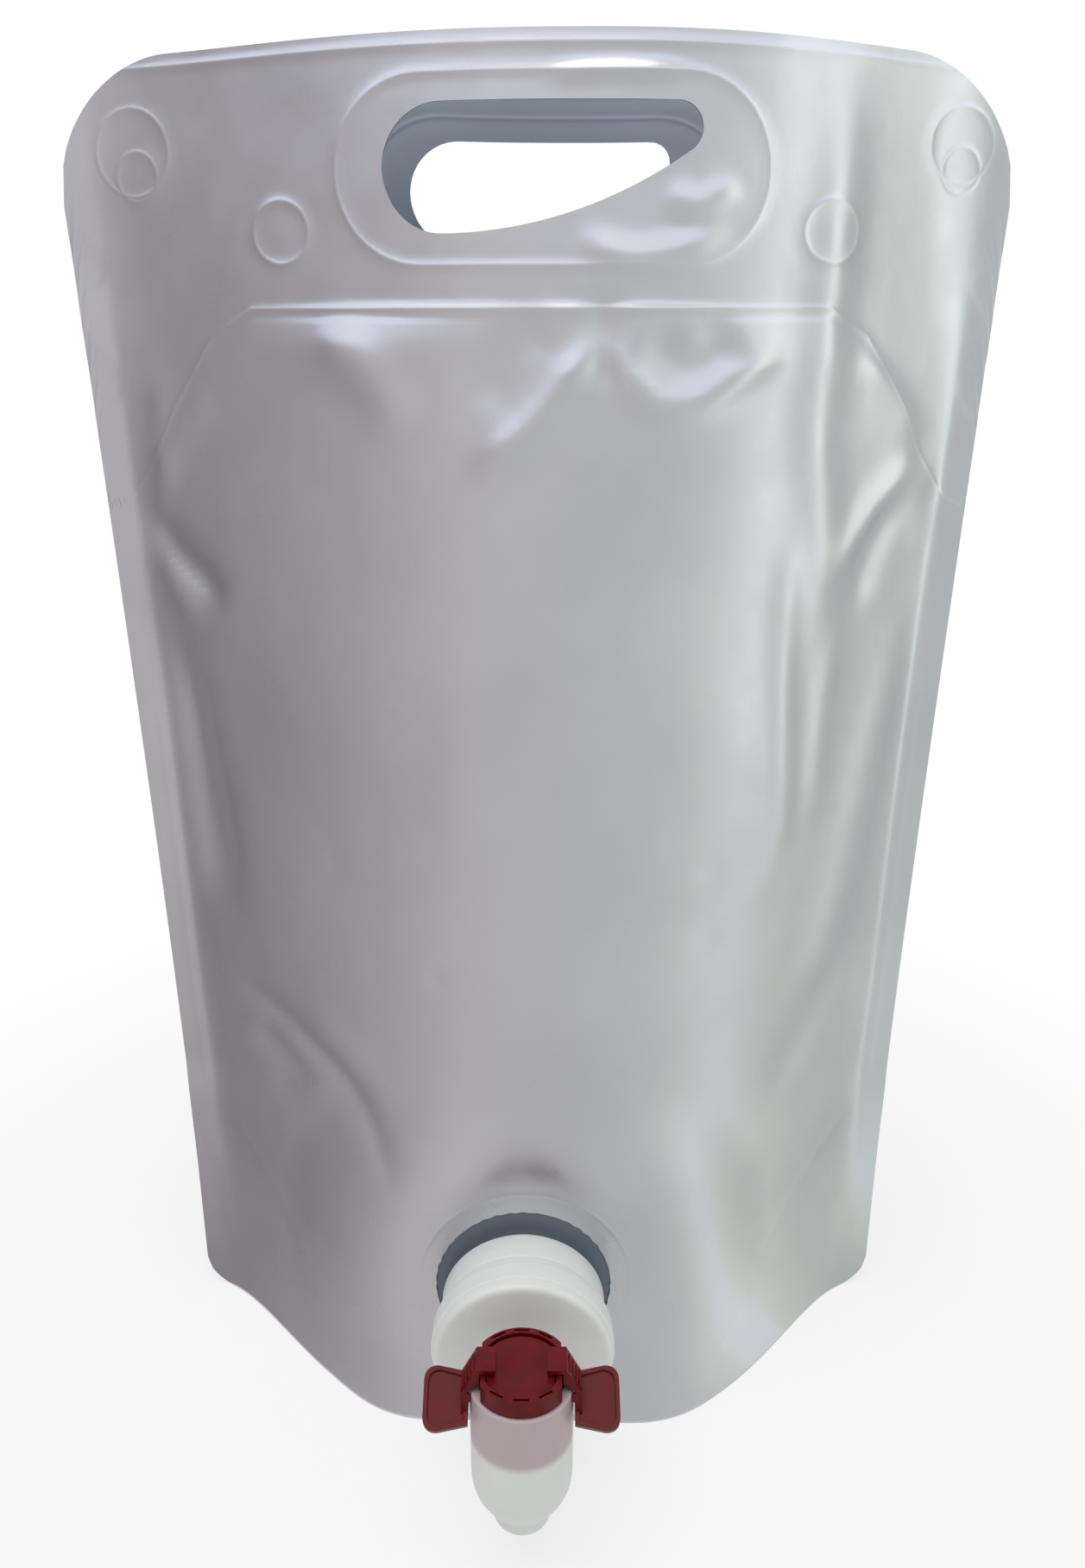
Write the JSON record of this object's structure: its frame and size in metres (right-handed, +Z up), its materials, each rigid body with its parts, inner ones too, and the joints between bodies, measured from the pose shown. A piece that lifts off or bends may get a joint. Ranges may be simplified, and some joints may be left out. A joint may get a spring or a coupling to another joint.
{
  "type": "stand-up pouch",
  "caption": "Stand-up drinks pouch of silver film with a hand hole, an open top, a gusseted foot and a red press tap low on the front.",
  "frame": {"origin": "on the floor, under the middle of the pouch's foot", "axes": "+Z up, +X to the right as the tap is seen from the front, -Y out of the front along the tap"},
  "size_m": [0.2106, 0.1616, 0.325],
  "materials": {
    "silver_film_outside": "satin metallised film",
    "silver_film_foot": "satin metallised film",
    "milky_plastic": "milky, slightly translucent, moulded",
    "red_plastic": "satin moulded",
    "soft_seal": "soft matt"
  },
  "bodies": {
    "pouch": {"front_film": "silver_film_outside", "back_film": "silver_film_outside", "bottom_gusset": "silver_film_foot", "tap_gland": "milky_plastic", "tap_body": "milky_plastic", "cap_ring": "red_plastic", "finger_grip": "red_plastic", "return_bellows": "soft_seal"},
    "button": {"press_button": "red_plastic", "valve_plunger": "red_plastic", "valve_seal": "soft_seal"}
  },
  "joints": [
    {"name": "button_press", "type": "slide", "parent": "pouch", "child": "button", "axis": [0, 0, -1], "range_m": [0, 0.004], "stiffness_N_per_m": 800, "deforming": ["return_bellows"]}
  ]
}
